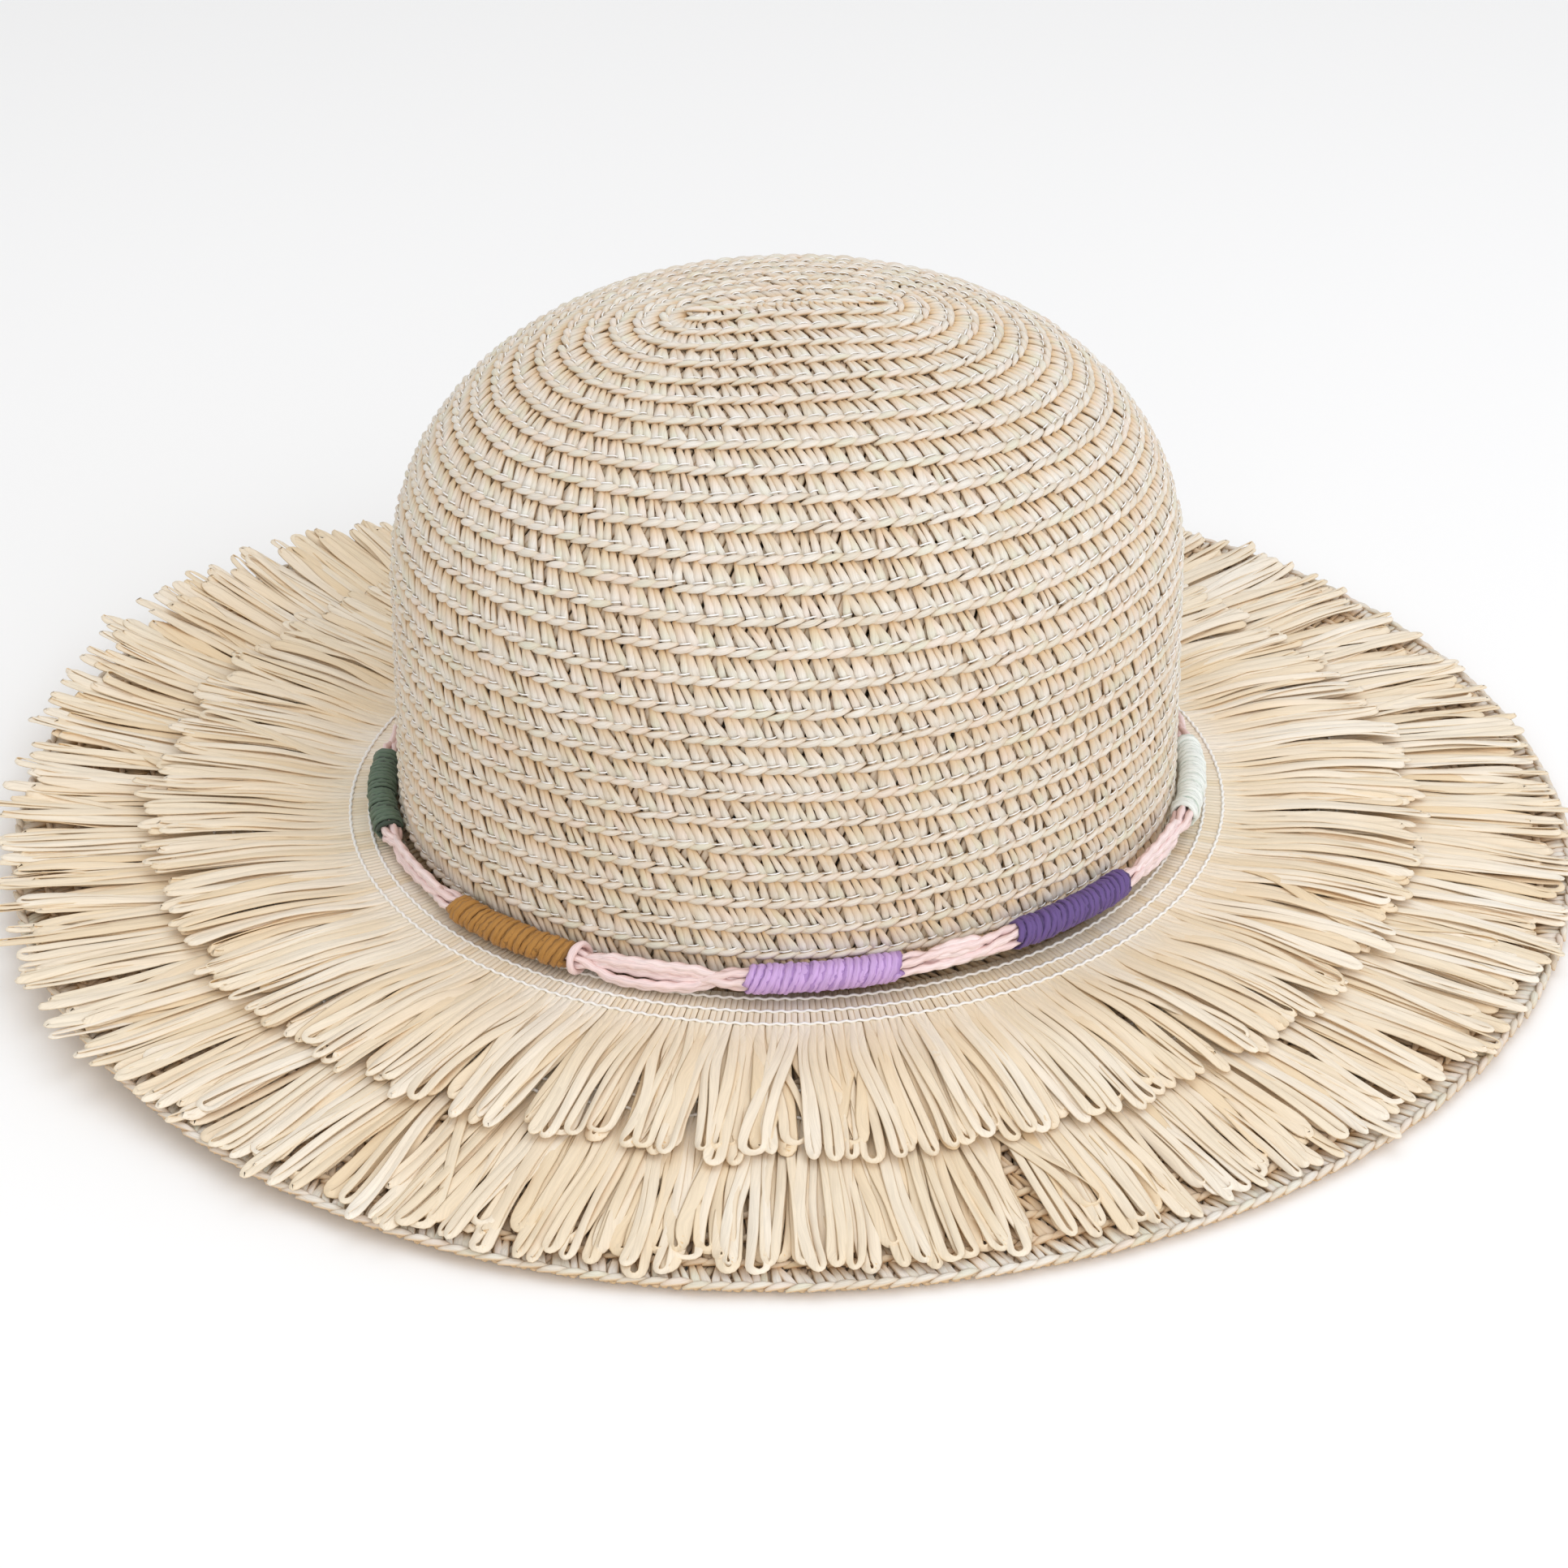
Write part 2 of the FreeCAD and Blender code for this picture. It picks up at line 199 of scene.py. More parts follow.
def brim_wave(angle):
    """How far the soft brim's edge lifts off the table, most of all at its -X end."""
    return sum(up * beside(angle, degrees, spread) for degrees, up, spread in BRIM_LIFTS)


def brim_level(out, angle):
    """Level of the brim's top at a distance out from the crown's foot."""
    fall = FOOT_LEVEL - BRIM_FALL * np.clip(out, 0, REACH - FLAT_EDGE)
    return fall + brim_wave(angle) * np.clip(out / REACH, 0, 1.1) ** 1.7


def brim_skin(angle, run):
    """A point on the brim's top. The rounds are sewn a little tighter at the -X end."""
    across = FOOT + run * (1 - 0.055 * beside(angle, 195, 0.6))
    return np.stack([OVAL * across * np.cos(angle), across * np.sin(angle), brim_level(run, angle)], -1)


def oval_point(across, level, angle):
    """A point on the hat's oval of that half-width and level."""
    across, level, angle = np.broadcast_arrays(across, level, angle)
    return np.stack([OVAL * across * np.cos(angle), across * np.sin(angle), level], -1)


def unit(v):
    return v / np.maximum(np.linalg.norm(v, axis=-1, keepdims=True), 1e-9)


def skin_frame(skin, angle, run):
    """Point, direction along the round, direction out of the skin, and millimetres per radian of angle."""
    along = (skin(angle + 1e-4, run) - skin(angle - 1e-4, run)) / 2e-4
    down = skin(angle, run + 0.05) - skin(angle, run - 0.05)
    return skin(angle, run), unit(along), unit(np.cross(down, along)), np.linalg.norm(along, axis=-1)


def stations(skin, run_at, turns, spacing):
    """Angles and runs evenly spaced along a spiral or a ring of braid."""
    angle = np.linspace(0, turns * TURN, int(turns * 720))
    steps = np.linalg.norm(np.diff(skin(angle, run_at(angle)), axis=0), axis=1)
    length = np.concatenate([[0], np.cumsum(steps)])
    count = int(length[-1] / spacing)
    angle = np.interp((np.arange(count) + 0.5) * length[-1] / count, length, angle)
    return angle, run_at(angle)


def laid_on(skin, angle, run, along, down, out):
    """Points that lie along, down and out from stations on a skin, with the way out of the skin at each."""
    speed = np.maximum(skin_frame(skin, angle, run)[3], 8)[:, None]
    point, _, normal, _ = skin_frame(skin, angle[:, None] + along / speed, run[:, None] + down)
    return point + normal * out[..., None], normal


# --- Meshes of many strands -------------------------------------------------------------------


def strands(
    middle,
    normal,
    half_width,
    half_thick,
    sides=6,
    roll=0.0,
    crease=0.0,
    painted_light=1.0,
    ply=None,
    ring=False,
    flat=False,
):
    """Tubes of flattened section along many paths at once.

    middle and normal have one row per strand and one column per point. roll turns the section about the
    path and crease bends its two sides down. depth paints light and shade: 1 keeps a strand's full colour,
    and less paints it towards its darker shade colour, where it lies hidden. ply is (length of one twist,
    how deep the groove is) for a two-ply yarn. The ends of a ring meet. A flat strand is a ribbon with a
    level top.
    """
    count, points = middle.shape[:2]
    if ring:
        tangent = unit(np.roll(middle, -1, 1) - np.roll(middle, 1, 1))
    else:
        tangent = unit(np.gradient(middle, axis=1))
    side = unit(np.cross(tangent, normal))
    rise = np.cross(side, tangent)
    roll = np.broadcast_to(roll, (count, points))[..., None]
    level_side, level_rise = side, rise
    side = level_side * np.cos(roll) + level_rise * np.sin(roll)
    rise = level_rise * np.cos(roll) - level_side * np.sin(roll)
    half_width = np.broadcast_to(half_width, (count, points))
    half_thick = np.broadcast_to(half_thick, (count, points))
    steps = np.linalg.norm(np.diff(middle, axis=1), axis=2)
    length = np.concatenate([np.zeros((count, 1)), np.cumsum(steps, axis=1)], axis=1)
    around = (0.0 if flat else -math.pi / 2) + TURN * np.arange(sides) / sides
    wide = np.sign(np.cos(around)) * np.abs(np.cos(around)) ** (0.35 if flat else 1.0)
    swell = 1.0
    if ply:
        swell = 1 + ply[1] * np.cos(2 * (around - TURN * length[..., None] / (2 * ply[0])))
    across = half_width[..., None] * wide * swell
    lift = half_thick[..., None] * np.sin(around) * swell
    lift = lift - np.broadcast_to(crease, (count, points))[..., None] * np.abs(np.cos(around))
    verts = middle[:, :, None] + side[:, :, None] * across[..., None] + rise[:, :, None] * lift[..., None]
    tone = chance.random(count)
    lay = np.empty(verts.shape)
    lay[..., 0] = length[..., None] + (chance.random(count) * 900)[:, None, None]
    lay[..., 1] = half_width[..., None] * (around + math.pi / 2)
    lay[..., 2] = tone[:, None, None]
    # the strand's own sides and underside are painted darker too, as painted shade
    painted_light = np.broadcast_to(painted_light, (count, points))[..., None] * np.clip(0.5 + 0.9 * np.sin(around), 0.1, 1)
    return {"verts": verts, "lay": lay, "painted_light": painted_light, "ring": ring}


def tube_faces(shape, ring):
    """Corner numbers and face sizes for tubes of (strands, points, sides)."""
    count, points, sides = shape
    number = np.arange(count * points * sides).reshape(shape)
    nxt = np.roll(number, -1, 2)
    here, ahead = (number, np.roll(number, -1, 1)) if ring else (number[:, :-1], number[:, 1:])
    nxt_here, nxt_ahead = (nxt, np.roll(nxt, -1, 1)) if ring else (nxt[:, :-1], nxt[:, 1:])
    quads = np.stack([here, ahead, nxt_ahead, nxt_here], -1).reshape(-1, 4)
    corners, sizes = [quads.ravel()], [np.full(len(quads), 4)]
    if not ring:
        ends = np.concatenate([number[:, 0], number[:, -1, ::-1]])
        corners.append(ends.ravel())
        sizes.append(np.full(len(ends), sides))
    return np.concatenate(corners), np.concatenate(sizes)


def make_piece(name, parts, finish, nodes=()):
    """One object from several sets of strands or sheets. It rides on the hat in place of those CAD nodes."""
    verts, lays, painted_lights, corners, sizes = [], [], [], [], []
    start = 0
    for part in parts:
        flat = part["verts"].reshape(-1, 3)
        loops, counts = tube_faces(part["verts"].shape[:3], part["ring"])
        verts.append(flat)
        lays.append(part["lay"].reshape(-1, 3))
        painted_lights.append(part["painted_light"].ravel())
        corners.append(loops + start)
        sizes.append(counts)
        start += len(flat)
    verts, corners, sizes = np.concatenate(verts), np.concatenate(corners), np.concatenate(sizes)
    mesh = bpy.data.meshes.new(name)
    mesh.vertices.add(len(verts))
    mesh.vertices.foreach_set("co", (verts * MM).astype(np.float32).ravel())
    mesh.loops.add(len(corners))
    mesh.loops.foreach_set("vertex_index", corners.astype(np.int32))
    mesh.polygons.add(len(sizes))
    mesh.polygons.foreach_set("loop_start", np.concatenate([[0], np.cumsum(sizes)[:-1]]).astype(np.int32))
    mesh.polygons.foreach_set("use_smooth", np.ones(len(sizes), bool))
    mesh.update(calc_edges=True)
    lay = mesh.attributes.new("lay", "FLOAT_VECTOR", "POINT")
    lay.data.foreach_set("vector", np.concatenate(lays).astype(np.float32).ravel())
    # painted light and shade for each point: below 1 the finish paints the strand in its darker shade colour
    painted_light = mesh.attributes.new("painted_light", "FLOAT", "POINT")
    painted_light.data.foreach_set("value", np.concatenate(painted_lights).astype(np.float32))
    mesh.materials.append(finish)
    piece = bpy.data.objects.new(name, mesh)
    bpy.context.scene.collection.objects.link(piece)
    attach(piece, "root")
    if nodes:
        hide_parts(*nodes)
    return piece


# --- Finishes ---------------------------------------------------------------------------------

PATCH = 35.7  # size of a broad patch of tint
UNLIKE = 41.0  # sets the fibres of strands with different tones well apart in the noise
WAVE = TURN / 20  # a wave texture's spacing at scale 1
TAPE_RIB = 0.9  # spacing of the cotton tape's ribs
TAPE_THREAD = 0.7  # and of the threads across them


def colour(hex_code):
    """An sRGB hex colour as linear red, green, blue and full alpha."""
    parts = [int(hex_code[i : i + 2], 16) / 255 for i in (1, 3, 5)]
    return (*[p / 12.92 if p <= 0.04045 else ((p + 0.055) / 1.055) ** 2.4 for p in parts], 1.0)


def add(tree, kind, inputs=None, **settings):
    """Adds a node. A socket in inputs is linked, and any other value is set on the node's own socket."""
    node = tree.nodes.new("ShaderNode" + kind)
    for name, value in settings.items():
        setattr(node, name, value)
    for name, value in (inputs or {}).items():
        if isinstance(value, bpy.types.NodeSocket):
            tree.links.new(value, node.inputs[name])
        else:
            node.inputs[name].default_value = value
    return node


def blank_finish(name):
    """A new material's node tree with its principled shader."""
    finish = bpy.data.materials.new(name)
    finish.use_nodes = True
    tree = finish.node_tree
    return finish, tree, tree.nodes["Principled BSDF"]


def fibre_finish(
    name,
    tones,
    painted_shade,
    fibre_width,
    fibre_length,
    streak,
    roughness,
    groove,
    sheen=0.0,
    mottle=None,
):
    """A strand with long fibres: its own tone, streaks along it, and a darker shade colour painted in where
    it lies hidden.

    fibre_width and fibre_length are in millimetres. Real fibres are finer than they are here, and would
    not show. streak is how much the fibres darken the strand, groove is how deep they are in millimetres, and
    mottle is the tint of broad patches that run over many strands. tucked is the painted shade colour.
    """
    finish, tree, shader = blank_finish(name)
    lay = add(tree, "Attribute", attribute_name="lay").outputs["Vector"]
    own_tone = add(tree, "SeparateXYZ", {"Vector": lay}).outputs["Z"]
    ramp = add(tree, "ValToRGB", {"Fac": own_tone})
    stops = ramp.color_ramp.elements
    while len(stops) < len(tones):
        stops.new(0.5)
    for i, tone in enumerate(tones):
        stops[i].position = i / (len(tones) - 1)
        stops[i].color = colour(tone)
    base = ramp.outputs["Color"]
    if mottle:
        place = add(tree, "TexCoord").outputs["Object"]
        cloud = add(tree, "TexNoise", {"Vector": place, "Scale": 1 / (PATCH * MM), "Detail": 2.0})
        patches = add(
            tree,
            "MapRange",
            {"Value": cloud.outputs["Fac"], "From Min": 0.35, "From Max": 0.75, "To Max": 0.6},
        )
        base = add(
            tree,
            "Mix",
            {"Factor": patches.outputs["Result"], "A": base, "B": colour(mottle)},
            data_type="RGBA",
            blend_type="MULTIPLY",
        ).outputs["Result"]
    stretched = add(
        tree,
        "VectorMath",
        {0: lay, 1: (1 / fibre_length, 1 / fibre_width, UNLIKE)},
        operation="MULTIPLY",
    )
    fibres = add(
        tree,
        "TexNoise",
        {"Vector": stretched.outputs["Vector"], "Scale": 1.0, "Detail": 2.0, "Roughness": 0.6},
    )
    shade = add(
        tree,
        "MapRange",
        {"Value": fibres.outputs["Fac"], "From Min": 0.3, "From Max": 0.62, "To Min": 1 - streak},
    )
    streaked = add(
        tree,
        "Mix",
        {"Factor": 1.0, "A": base, "B": shade.outputs["Result"]},
        data_type="RGBA",
        blend_type="MULTIPLY",
    )
    # painted shade: where the painted light value is below 1, the darker shade colour is mixed in
    painted_lightness = add(tree, "Attribute", attribute_name="painted_light")
    final = add(
        tree,
        "Mix",
        {"Factor": painted_lightness.outputs["Fac"], "A": colour(painted_shade), "B": streaked.outputs["Result"]},
        data_type="RGBA",
    )
    bump = add(tree, "Bump", {"Height": fibres.outputs["Fac"], "Strength": 0.6, "Distance": groove * MM})
    tree.links.new(final.outputs["Result"], shader.inputs["Base Color"])
    tree.links.new(bump.outputs["Normal"], shader.inputs["Normal"])
    shader.inputs["Roughness"].default_value = roughness
    shader.inputs["IOR"].default_value = 1.5
    shader.inputs["Sheen Weight"].default_value = sheen
    return finish


# Twisted kraft-paper straw, plaited flat: matt, slightly hairy, each strand its own cream with a rosy or
# green cast.
straw_finish = fibre_finish(
    "twisted_paper_straw",
    ["#E0D9CA", "#E8E1D6", "#EBE6DD", "#E3DCCF", "#EBE0D5", "#EDE9E1", "#E2E0CF", "#E6DFD3"],
    # painted shade colour: warm ochre for the strands' sides and hidden parts and for the braid under the
    # fringe
    painted_shade="#D9B27C",
    fibre_width=0.35,
    fibre_length=5.0,
    streak=0.16,
    roughness=0.82,
    groove=0.14,
    sheen=0.1,
    mottle="#F8EEE4",
)
# Raffia of flat crinkled paper: cream and faintly silky, with an ochre painted shade in the folds and on the
# lower-lying loops.
raffia_finish = fibre_finish(
    "flat_paper_raffia",
    ["#EEDEC4", "#F3E7D2", "#F6EDDE", "#F1E3CC", "#F5EAD8", "#F8F0E3", "#EEDFC6"],
    painted_shade="#EAC996",
    fibre_width=0.3,
    fibre_length=9.0,
    streak=0.12,
    roughness=0.62,
    groove=0.1,
    mottle="#F9EEDC",
)
# Spun cotton sewing thread: soft white, dull.
thread_finish = fibre_finish(
    "cotton_sewing_thread",
    ["#F9F6F1", "#FDFCFA", "#FAF8F4"],
    # painted shade colour, for the thread's sides and where it dips between strands
    painted_shade="#E4DCCF",
    fibre_width=0.12,
    fibre_length=1.2,
    streak=0.12,
    roughness=0.8,
    groove=0.05,
    sheen=0.15,
)
# Fine nylon thread: thin and bright, it glints along the top of each round.
nylon_finish = fibre_finish(
    "clear_nylon_thread",
    ["#FAF8F5", "#FFFFFF"],
    # painted shade colour, for the thread's sides and underside
    painted_shade="#EDE8E0",
    fibre_width=0.1,
    fibre_length=2.0,
    streak=0.03,
    roughness=0.35,
    groove=0.01,
)
# Two-ply paper yarn, dyed: matt and crushed, with real grooves where it twists and a painted shade along its
# sides and inner turns.
YARNS = {  # each yarn's tones, and its painted shade colour
    "pink": (["#FBE2E2", "#FDEBEA", "#F8DCDB"], "#DDBAB2"),
    "green": (["#536759", "#607562", "#495E50"], "#262F24"),
    "tan": (["#B4803A", "#C08E48", "#A8762E"], "#6A4616"),
    "lilac": (["#D3ADE4", "#E0BFEE", "#C69FDB"], "#8A62A8"),
    "purple": (["#6A4F90", "#785E9E", "#5D4482"], "#33204E"),
    "mint": (["#F5F9F3", "#FBFDFA", "#ECF4ED"], "#C6D3C8"),
}
yarn_finishes = {
    name: fibre_finish(
        f"{name}_paper_yarn",
        tones,
        painted_shade,
        fibre_width=0.3,
        fibre_length=4.0,
        streak=0.22,
        roughness=0.7,
        groove=0.14,
        sheen=0.1,
    )
    for name, (tones, painted_shade) in YARNS.items()
}


def woven_tape_finish():
    """Cotton tape, woven with fine ribs across it: soft cream with a faint grid of threads."""
    finish, tree, shader = blank_finish("woven_cotton_tape")
    lay = add(tree, "Attribute", attribute_name="lay")
    ribs = add(
        tree,
        "TexWave",
        {"Vector": lay.outputs["Vector"], "Scale": WAVE / TAPE_RIB, "Distortion": 0.4},
        bands_direction="X",
    )
    threads = add(
        tree,
        "TexWave",
        {"Vector": lay.outputs["Vector"], "Scale": WAVE / TAPE_THREAD, "Distortion": 0.3},
        bands_direction="Y",
    )
    weave = add(tree, "Math", {0: ribs.outputs["Fac"], 1: threads.outputs["Fac"]}, operation="MULTIPLY")
    tint = add(
        tree,
        "Mix",
        {"Factor": weave.outputs["Value"], "A": colour("#D9CFBB"), "B": colour("#F1EBDD")},
        data_type="RGBA",
    )
    bump = add(tree, "Bump", {"Height": weave.outputs["Value"], "Strength": 0.5, "Distance": 0.15 * MM})
    tree.links.new(tint.outputs["Result"], shader.inputs["Base Color"])
    tree.links.new(bump.outputs["Normal"], shader.inputs["Normal"])
    shader.inputs["Roughness"].default_value = 0.85
    shader.inputs["Sheen Weight"].default_value = 0.2
    return finish


# --- Braid ------------------------------------------------------------------------------------


def jitter(count, size):
    """A small chance offset for each strand."""
    return chance.normal(0, size, (count, 1))


def belly(t):
    """How full a turn of the edge strand is from end to end: it tapers to where it passes in under the
    others.
    """
    return np.sin(math.pi * np.clip(t, 0.06, 0.94)) ** 0.55


def plait(skin, angle, run, front_sides, painted_light_scale=1.0):
    """One plaited turn at each station: a rolled edge strand, and two strands over it that lean back.

    shown scales the painted light: 1 for braid open to the light, less under the fringe, where it is painted
    darker.
    """
    count = len(angle)
    t = np.linspace(0, 1, 6)[None]
    half_run = EDGE_HALF_RUN + jitter(count, 0.15)
    edge = laid_on(
        skin,
        angle,
        run,
        (2 * t - 1) * half_run + jitter(count, 0.15),
        -EDGE_LEAN * (2 * t - 1) + jitter(count, 0.14),
        -0.8 + 0.6 * np.sin(math.pi * t) + jitter(count, 0.08),
    )
    half_width = (EDGE_HALF_WIDTH + jitter(count, 0.07)) * belly(t)
    # painted shade: the edge strand is painted darker towards its tapered ends
    parts = [strands(*edge, half_width, EDGE_HALF_THICK * belly(t), painted_light=painted_light_scale * (0.35 + 0.65 * belly(t)))]
    t = np.linspace(0, 1, 4)[None]
    for offset in (-0.22, 0.22):
        finger = laid_on(
            skin,
            angle,
            run,
            offset * PLAIT * (0.7 + 0.4 * t)
            + (FINGER_LEAN + jitter(count, 0.4)) * (2 * t - 1)
            + jitter(count, 0.22),
            -FINGER_START + 6.0 * t + jitter(count, 0.14),
            -1.4 + 0.85 * np.sin(math.pi * (0.18 + 0.6 * t)) + jitter(count, 0.08),
        )
        half_width = (0.72 + 0.42 * soft_step(t / 0.75)) * (1 + jitter(count, 0.15))
        # painted shade: each front strand is painted darker where it starts under the round above
        painted_lightness = painted_light_scale * np.clip(0.1 + 1.5 * t, 0, 1)
        parts.append(strands(*finger, half_width, FINGER_HALF_THICK, front_sides, crease=0.1, painted_light=painted_lightness))
    return parts


def plait_behind(skin, angle, run, depth_behind):
    """The two crossing strands on the braid's other face."""
    count = len(angle)
    t = np.linspace(0, 1, 4)[None]
    parts = []
    for offset in (-0.25, 0.25):
        crossing = laid_on(
            skin,
            angle,
            run,
            offset * PLAIT - BACK_LEAN * (2 * t - 1) + jitter(count, 0.2),
            -BACK_START * (1 - t) + jitter(count, 0.1),
            -depth_behind + 0.15 - 0.3 * np.sin(math.pi * t) + jitter(count, 0.06),
        )
        half_width = BACK_HALF_WIDTH + jitter(count, 0.05)
        # painted shade: the strands behind are painted darker, least so at their middle
        painted_lightness = 0.45 + 0.3 * np.sin(math.pi * t)
        parts.append(strands(*crossing, half_width, BACK_HALF_THICK, 5, painted_light=painted_lightness))
    return parts


def stitches(skin, angle, run):
    """The fine thread that sews each round to the next: a short dash in each turn, above its edge strand."""
    count = len(angle)
    t = np.linspace(0, 1, 4)[None]
    dash = laid_on(
        skin,
        angle,
        run,
        (2 * t - 1) * (1.35 + jitter(count, 0.2)) + jitter(count, 0.3),
        -1.3 - 0.25 * (2 * t - 1) + jitter(count, 0.12),
        -0.32 + 0.35 * np.sin(math.pi * t) + jitter(count, 0.05),
    )
    return strands(*dash, 0.2, 0.16, 4)


def make_fold():
    """The rope of braid that the spiral starts from, along the middle of the crown's top."""
    middle_of = np.arange(-FOLD - 1, FOLD + 1, PLAIT * 0.8)[:, None]
    t = np.linspace(0, 1, 6)[None]
    along = middle_of + (2 * t - 1) * 3.2
    across = 0.6 * (1 - 2 * t) + 0 * along
    level = CROWN_TOP - 1.15 + 0.45 * np.sin(math.pi * t) + 0 * along
    rope = np.stack([along, across, level], -1)
    fold = strands(rope, np.broadcast_to([0.0, 0.0, 1.0], rope.shape), 0.9 * belly(t), 0.7 * belly(t))
    make_piece("crown_braid_start", [fold], straw_finish, ["crown_braid"])


def make_crown():
    """The crown: one braid wound in a spiral from the tip's fold down to the foot."""
    rounds = (CROWN_RUN - 2.5) / ROUND
    angle, run = stations(crown_skin, lambda a: 0.7 + ROUND * a / TURN, rounds, PLAIT)
    bounds = {"tip": (0, 52), "dome": (52, 90), "shoulder": (90, 122), "wall": (122, 153), "foot": (153, 999)}
    sewn = []
    for name, (first, last) in bounds.items():
        here = (run >= first) & (run < last)
        a, r = angle[here], run[here]
        parts = plait(crown_skin, a, r, 6) + plait_behind(crown_skin, a, r, BACK_OF_CROWN)
        make_piece(f"crown_braid_{name}", parts, straw_finish, ["crown_braid"])
        sewn.append(stitches(crown_skin, a, r))
    make_piece("crown_stitches", sewn, nylon_finish)
    make_fold()


def make_brim():
    """The brim: rounds of the same braid, the last one its edge. Those further in have fewer sides, and those
    under the fringe are painted in a darker shade.
    """
    rounds = [REACH - 0.7 - ROUND * i for i in range(14)]
    for name, chosen in {"edge": rounds[:5], "inner": rounds[5:]}.items():
        parts = []
        for out in chosen:
            angle, run = stations(brim_skin, lambda a: np.full_like(a, out), 1, PLAIT)
            # fewer sides further in; the rounds under the fringe get half the painted light, so they are
            # painted in shade
            sides, painted_light_scale = 5 if out > REACH - 20 else 4, 1.0 if out > REACH - 4 else 0.5
            parts += plait(brim_skin, angle, run, sides, painted_light_scale)
            parts += plait_behind(brim_skin, angle, run, BACK_OF_BRIM)
        make_piece(f"brim_braid_{name}", parts, straw_finish, ["brim_braid"])


# --- Fringe -----------------------------------------------------------------------------------


def drift(angle, waves, size):
    """A slow wander round the hat, the same on each run."""
    total = 0
    for wave in waves:
        total = total + np.sin(wave * angle + chance.random() * TURN)
    return size * total / len(waves)


def in_clumps(count, most):
    """Which clump each loop has fallen into: one to most loops side by side."""
    sizes = chance.integers(1, most + 1, count)
    return np.repeat(np.arange(count), sizes)[:count]


def both_legs(values):
    """One value for each leg of a loop, carried along the whole of it."""
    return np.concatenate([np.repeat(value, LEG_POINTS + BEND_POINTS // 2, 1) for value in values], 1)


def make_fringe(name, seams, start, tips_at, count, most, lift_at, raise_at, node, under=0.0):
    """One tier: raffia laid back and forth across three seams, so that it hangs in narrow loops.

    Up to most loops have fallen together, and away from the front they are pressed shut. under is how far
    this row of loops lies below the tier's top one, in millimetres.
    """
    # where each loop starts and ends, and how wide it hangs
    angle = TURN * (np.arange(count) + 0.5) / count
    closed = 1 - beside(angle, 272, 0.8)
    clump = in_clumps(count, most)
    middle = np.array([angle[clump == c].mean() for c in clump])
    pull = (0.1 + 0.5 * chance.random(count))[clump] * (0.45 + 0.55 * closed)
    tip_angle = angle + (middle - angle) * pull + chance.normal(0, 0.005, count)
    tip_out = tips_at(angle) + chance.normal(0, 1.3, count) + drift(angle, (7, 13, 23), 1.0)
    wild = chance.random(count) < 0.1
    tip_angle = tip_angle + wild * chance.normal(0, 0.04, count)
    tip_out = tip_out - wild * chance.random(count) * 6
    half_loop = np.where(wild, 2.8, 0.9 + 1.1 * chance.random(count) ** 2) * (1 - 0.35 * closed)
    layer = chance.random(count)

    # along a loop: out on one leg, round the bend and back on the other
    t = np.linspace(0, 1, LEG_POINTS) ** 0.85
    bend = np.linspace(0, math.pi, BEND_POINTS + 2)[1:-1]
    nose = 2.0 + 2.2 * chance.random((count, 1))
    out_leg = start + (tip_out[:, None] - nose - start) * t[None]
    out_bend = tip_out[:, None] - nose + nose * np.sin(bend)[None] ** 0.85
    out = np.concatenate([out_leg, out_bend, out_leg[:, ::-1]], 1)
    side_of = np.concatenate([np.ones(LEG_POINTS), np.cos(bend), -np.ones(LEG_POINTS)])[None]
    place = np.linspace(-1, 1, out.shape[1])[None]
    hang = np.clip((out - seams[2]) / (tip_out[:, None] - seams[2]), 0, 1)
    free = soft_step(hang)
    arched = np.sin(math.pi * hang)

    # round the hat: the legs open from the seams, and each sways and kinks on its own
    gap = FOOT * TURN * MEAN_OVAL * (1 + seams[1] / FOOT) / count / 4
    half = gap + (half_loop[:, None] - gap) * hang**0.7
    sway = jitter(count, 0.55) * arched + jitter(count, 0.4) * np.sin(TURN * hang)
    for _ in range(2):
        kink = chance.random((count, 1)) * 0.7 + 0.15
        sway = sway + jitter(count, 2.2) * np.clip(hang - kink, 0, 1) * (1 - hang)
    uneven = both_legs([jitter(count, 0.5) for _ in range(2)]) * arched
    across = FOOT + out
    here = angle[:, None] + (tip_angle - angle)[:, None] * free
    speed = np.hypot(OVAL * across * np.sin(here), across * np.cos(here))
    turned = here + (side_of * half + sway + uneven) / speed

    # up: the seams press the raffia down, and the loops arch between them and their tips
    pinch = sum(np.exp(-(((out - seam) / 0.8) ** 2)) for seam in seams)
    level = brim_level(out, turned) + ON_BRIM - 0.2 * pinch + lift_at(out) - under
    arch = 0.8 * arched * chance.random((count, 1))
    other_leg = 0.5 * np.sign(place) * jitter(count, 0.6) * arched
    level = level + free * (0.1 + 1.5 * layer[:, None]) + arch + other_leg
    level = level + raise_at(angle)[:, None] * hang**1.6
    middle_line = oval_point(across, level, turned)
    normal = np.broadcast_to(np.array([0.0, 0.0, 1.0]), middle_line.shape)

    # the section: a narrow fold under the seams, a flat ribbon beyond them, on edge round the bend
    on_edge = np.exp(-((place / 0.13) ** 2)) * (1.05 + 0.4 * chance.random((count, 1)))
    on_edge = on_edge * (1 - 0.6 * closed[:, None])
    lean = jitter(count, 0.22) + 0.3 * np.sin(place * 7 + chance.random((count, 1)) * TURN)
    full = soft_step((out - seams[2] + 1) / 9)
    leg_width = both_legs([0.95 + 0.5 * chance.random((count, 1)) for _ in range(2)]) * (1 + 0.5 * under)
    ripple = 1 + 0.12 * np.sin(place * 19 + chance.random((count, 1)) * TURN)
    wide = RAFFIA_FOLD + (leg_width - RAFFIA_FOLD) * full * ripple
    wide = wide * (1 - 0.45 * np.exp(-((place / 0.15) ** 2)))
    thick = 0.36 - 0.2 * full
